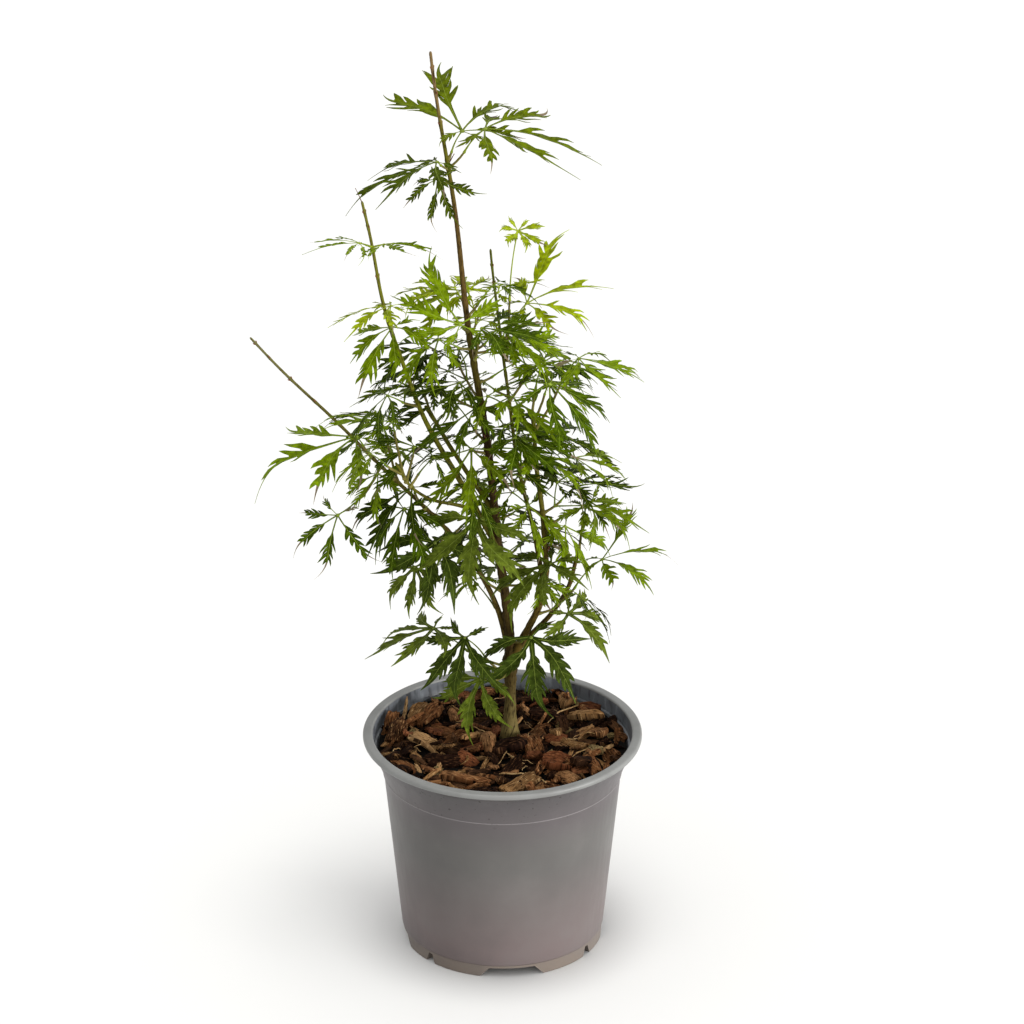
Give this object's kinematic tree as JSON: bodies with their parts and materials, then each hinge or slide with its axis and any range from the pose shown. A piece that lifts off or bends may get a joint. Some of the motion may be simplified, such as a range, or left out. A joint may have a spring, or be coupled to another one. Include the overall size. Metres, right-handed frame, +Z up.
{
  "type": "potted japanese maple",
  "caption": "Young upright cut-leaf Japanese maple with slender stems and open layers of leaves, in a round plastic nursery pot topped with bark mulch.",
  "frame": {"origin": "centre of the pot's underside, at ground level", "axes": "+Z up along the pot's axis, -Y towards the plant's front, +X to the right seen from the front"},
  "size_m": [0.2906, 0.206, 0.636],
  "materials": {
    "pot_plastic": "satin moulded taupe-grey plastic",
    "compost": "damp dark compost",
    "bark_mulch": "rough red-brown bark chips",
    "bark": "thin grey-brown to red-brown bark",
    "leaf_young": "satin yellow-green leaf",
    "leaf_mid": "satin mid-green leaf",
    "leaf_dark": "satin dark green leaf"
  },
  "bodies": {
    "root": {"pot": "pot_plastic", "compost": "compost", "bark_mulch": "bark_mulch", "trunk": "bark", "bough_left_low": "bark", "bough_left_leader": "bark", "bough_left_inner": "bark", "bough_left_stub": "bark", "bough_right": "bark", "bough_right_low": "bark", "bough_back": "bark", "foliage_top_back": "leaf_young", "foliage_top_right": "leaf_young", "foliage_top_left": "leaf_young", "foliage_top_hang": "leaf_young", "foliage_leader_mid": "leaf_young", "foliage_leader_low": "leaf_young", "foliage_crown_front": "leaf_mid", "foliage_crown_left": "leaf_young", "foliage_crown_mid": "leaf_mid", "foliage_crown_right": "leaf_mid", "foliage_mid_near": "leaf_dark", "foliage_right_under": "leaf_mid", "foliage_right_far": "leaf_mid", "foliage_right_tip": "leaf_mid", "foliage_right_top": "leaf_mid", "foliage_mid_pale": "leaf_mid", "foliage_mid_front": "leaf_mid", "foliage_mid_right": "leaf_dark", "foliage_low_front": "leaf_dark", "foliage_right_front": "leaf_mid", "foliage_left_under": "leaf_mid", "foliage_left_drop": "leaf_mid", "foliage_left_foot": "leaf_dark", "foliage_left_fall": "leaf_mid", "foliage_left_small": "leaf_mid", "foliage_left_hang": "leaf_mid", "foliage_left_tip": "leaf_mid", "foliage_inner_tip": "leaf_mid", "foliage_inner_side": "leaf_mid", "foliage_low_right": "leaf_dark", "foliage_low_left": "leaf_dark", "foliage_low_far": "leaf_dark", "foliage_low_foot": "leaf_dark", "foliage_low_tail": "leaf_mid", "foliage_right_end": "leaf_mid", "foliage_right_hang": "leaf_dark", "foliage_back_shoot": "leaf_young", "foliage_back_top": "leaf_young", "foliage_leader_top": "leaf_young", "foliage_crown_back": "leaf_young", "foliage_mid_left": "leaf_dark", "foliage_mid_back": "leaf_dark", "foliage_low_back": "leaf_dark", "foliage_left_back": "leaf_mid", "foliage_stub_tip": "leaf_dark", "foliage_right_mid": "leaf_dark", "foliage_right_low": "leaf_dark", "foliage_back_mid": "leaf_mid", "foliage_back_low": "leaf_dark"}
  },
  "joints": []
}
